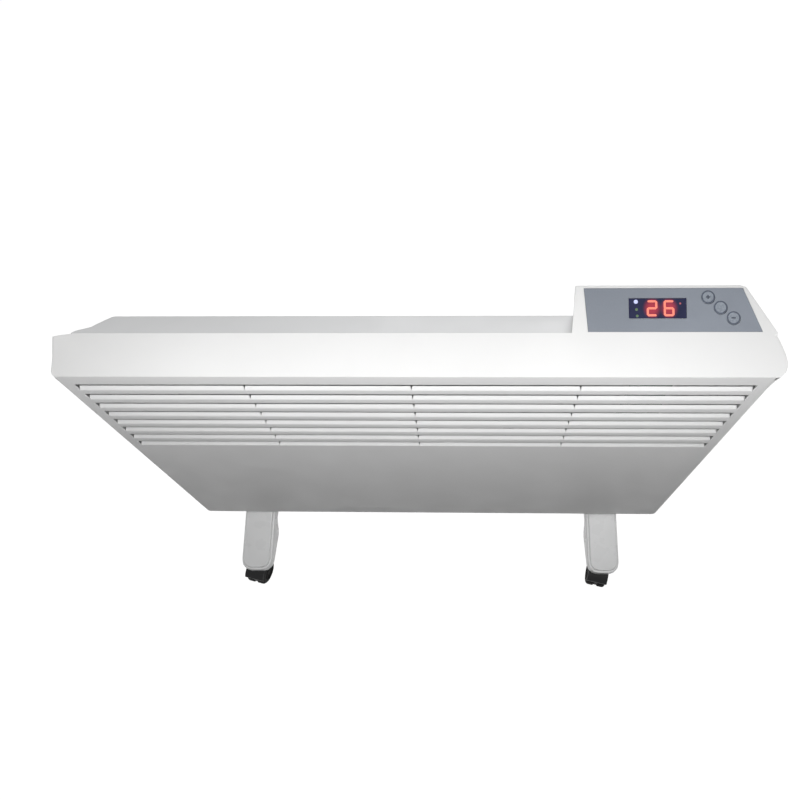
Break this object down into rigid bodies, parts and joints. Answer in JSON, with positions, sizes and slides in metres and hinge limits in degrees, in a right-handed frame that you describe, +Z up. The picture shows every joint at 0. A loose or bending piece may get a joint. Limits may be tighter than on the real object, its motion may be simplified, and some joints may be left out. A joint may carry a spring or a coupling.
{
  "type": "panel convector heater",
  "caption": "Flat electric panel convector with a louvred steel front, a sloping plastic top with a control panel, and two castor feet.",
  "frame": {"origin": "on the floor, under the middle of the overall width, in the plane where the front cover meets the rear shell", "axes": "+X to the right seen from the front, +Y from the front to the back, +Z up"},
  "size_m": [0.7494, 0.2834, 0.5491],
  "materials": {
    "white_enamel": "satin white powder coat",
    "rear_enamel": "satin light grey powder coat",
    "white_plastic": "fine semi-gloss moulding",
    "foot_plastic": "gloss white moulding",
    "overlay_film": "grey-blue printed film",
    "dark_lens": "polished dark blue lens",
    "black_plastic": "fine matt moulding",
    "castor_wheel": "matt black nylon",
    "circuit_board": "solder-masked laminate",
    "aluminium_fin": "as extruded",
    "zinc_steel": "zinc plated",
    "ceramic": "glazed ivory"
  },
  "bodies": {
    "case": {"front_cover": "white_enamel", "rear_shell": "rear_enamel", "top_trim": "white_plastic", "control_overlay": "overlay_film", "display_window": "dark_lens", "display_module": "black_plastic", "control_board": "circuit_board", "heating_element": "aluminium_fin", "element_insulator_left": "ceramic", "element_bracket_left": "zinc_steel", "element_insulator_right": "ceramic", "element_bracket_right": "zinc_steel", "heat_shield": "zinc_steel", "thermal_cutout": "black_plastic", "tilt_switch": "black_plastic", "board_carrier": "white_plastic", "power_board": "circuit_board", "terminal_block": "white_plastic", "room_sensor": "white_plastic", "cord_gland": "black_plastic", "gland_nut": "black_plastic", "foot_left": "foot_plastic", "foot_right": "foot_plastic", "foot_screw_1": "zinc_steel", "foot_screw_2": "zinc_steel", "foot_screw_3": "zinc_steel", "foot_screw_4": "zinc_steel", "cover_screw_1": "zinc_steel", "cover_screw_2": "zinc_steel", "cover_screw_3": "zinc_steel", "cover_screw_4": "zinc_steel", "cover_screw_5": "zinc_steel", "cover_screw_6": "zinc_steel"},
    "key_plus": {"key_plus": "overlay_film"},
    "key_mode": {"key_mode": "overlay_film"},
    "key_minus": {"key_minus": "overlay_film"},
    "castor_front_left": {"castor_fork_front_left": "black_plastic", "castor_stem_front_left": "zinc_steel", "castor_axle_front_left": "zinc_steel"},
    "wheel_a_front_left": {"wheel_a_front_left": "castor_wheel"},
    "wheel_b_front_left": {"wheel_b_front_left": "castor_wheel"},
    "castor_front_right": {"castor_fork_front_right": "black_plastic", "castor_stem_front_right": "zinc_steel", "castor_axle_front_right": "zinc_steel"},
    "wheel_a_front_right": {"wheel_a_front_right": "castor_wheel"},
    "wheel_b_front_right": {"wheel_b_front_right": "castor_wheel"},
    "castor_rear_left": {"castor_fork_rear_left": "black_plastic", "castor_stem_rear_left": "zinc_steel", "castor_axle_rear_left": "zinc_steel"},
    "wheel_a_rear_left": {"wheel_a_rear_left": "castor_wheel"},
    "wheel_b_rear_left": {"wheel_b_rear_left": "castor_wheel"},
    "castor_rear_right": {"castor_fork_rear_right": "black_plastic", "castor_stem_rear_right": "zinc_steel", "castor_axle_rear_right": "zinc_steel"},
    "wheel_a_rear_right": {"wheel_a_rear_right": "castor_wheel"},
    "wheel_b_rear_right": {"wheel_b_rear_right": "castor_wheel"}
  },
  "joints": [
    {"name": "key_plus_press", "type": "slide", "parent": "case", "child": "key_plus", "axis": [0, 0.4384, -0.8988], "range_m": [0, 0.001], "stiffness_N_per_m": 300},
    {"name": "key_mode_press", "type": "slide", "parent": "case", "child": "key_mode", "axis": [0, 0.4384, -0.8988], "range_m": [0, 0.001], "stiffness_N_per_m": 300},
    {"name": "key_minus_press", "type": "slide", "parent": "case", "child": "key_minus", "axis": [0, 0.4384, -0.8988], "range_m": [0, 0.001], "stiffness_N_per_m": 300},
    {"name": "castor_front_left_swivel", "type": "hinge", "parent": "case", "child": "castor_front_left", "pos_m": [-0.28775, -0.1, 0.0445], "axis": [0, 0, 1], "continuous": true},
    {"name": "wheel_a_front_left_spin", "type": "hinge", "parent": "castor_front_left", "child": "wheel_a_front_left", "pos_m": [-0.29225, -0.11949, 0.02], "axis": [0.9744, -0.225, 0], "continuous": true},
    {"name": "wheel_b_front_left_spin", "type": "hinge", "parent": "castor_front_left", "child": "wheel_b_front_left", "pos_m": [-0.29225, -0.11949, 0.02], "axis": [0.9744, -0.225, 0], "continuous": true},
    {"name": "castor_front_right_swivel", "type": "hinge", "parent": "case", "child": "castor_front_right", "pos_m": [0.27825, -0.1, 0.0445], "axis": [0, 0, 1], "continuous": true},
    {"name": "wheel_a_front_right_spin", "type": "hinge", "parent": "castor_front_right", "child": "wheel_a_front_right", "pos_m": [0.27375, -0.11949, 0.02], "axis": [0.9744, -0.225, 0], "continuous": true},
    {"name": "wheel_b_front_right_spin", "type": "hinge", "parent": "castor_front_right", "child": "wheel_b_front_right", "pos_m": [0.27375, -0.11949, 0.02], "axis": [0.9744, -0.225, 0], "continuous": true},
    {"name": "castor_rear_left_swivel", "type": "hinge", "parent": "case", "child": "castor_rear_left", "pos_m": [-0.28775, 0.1, 0.0445], "axis": [0, 0, 1], "continuous": true},
    {"name": "wheel_a_rear_left_spin", "type": "hinge", "parent": "castor_rear_left", "child": "wheel_a_rear_left", "pos_m": [-0.29225, 0.11949, 0.02], "axis": [-0.9744, -0.225, 0], "continuous": true},
    {"name": "wheel_b_rear_left_spin", "type": "hinge", "parent": "castor_rear_left", "child": "wheel_b_rear_left", "pos_m": [-0.29225, 0.11949, 0.02], "axis": [-0.9744, -0.225, 0], "continuous": true},
    {"name": "castor_rear_right_swivel", "type": "hinge", "parent": "case", "child": "castor_rear_right", "pos_m": [0.27825, 0.1, 0.0445], "axis": [0, 0, 1], "continuous": true},
    {"name": "wheel_a_rear_right_spin", "type": "hinge", "parent": "castor_rear_right", "child": "wheel_a_rear_right", "pos_m": [0.27375, 0.11949, 0.02], "axis": [-0.9744, -0.225, 0], "continuous": true},
    {"name": "wheel_b_rear_right_spin", "type": "hinge", "parent": "castor_rear_right", "child": "wheel_b_rear_right", "pos_m": [0.27375, 0.11949, 0.02], "axis": [-0.9744, -0.225, 0], "continuous": true}
  ]
}
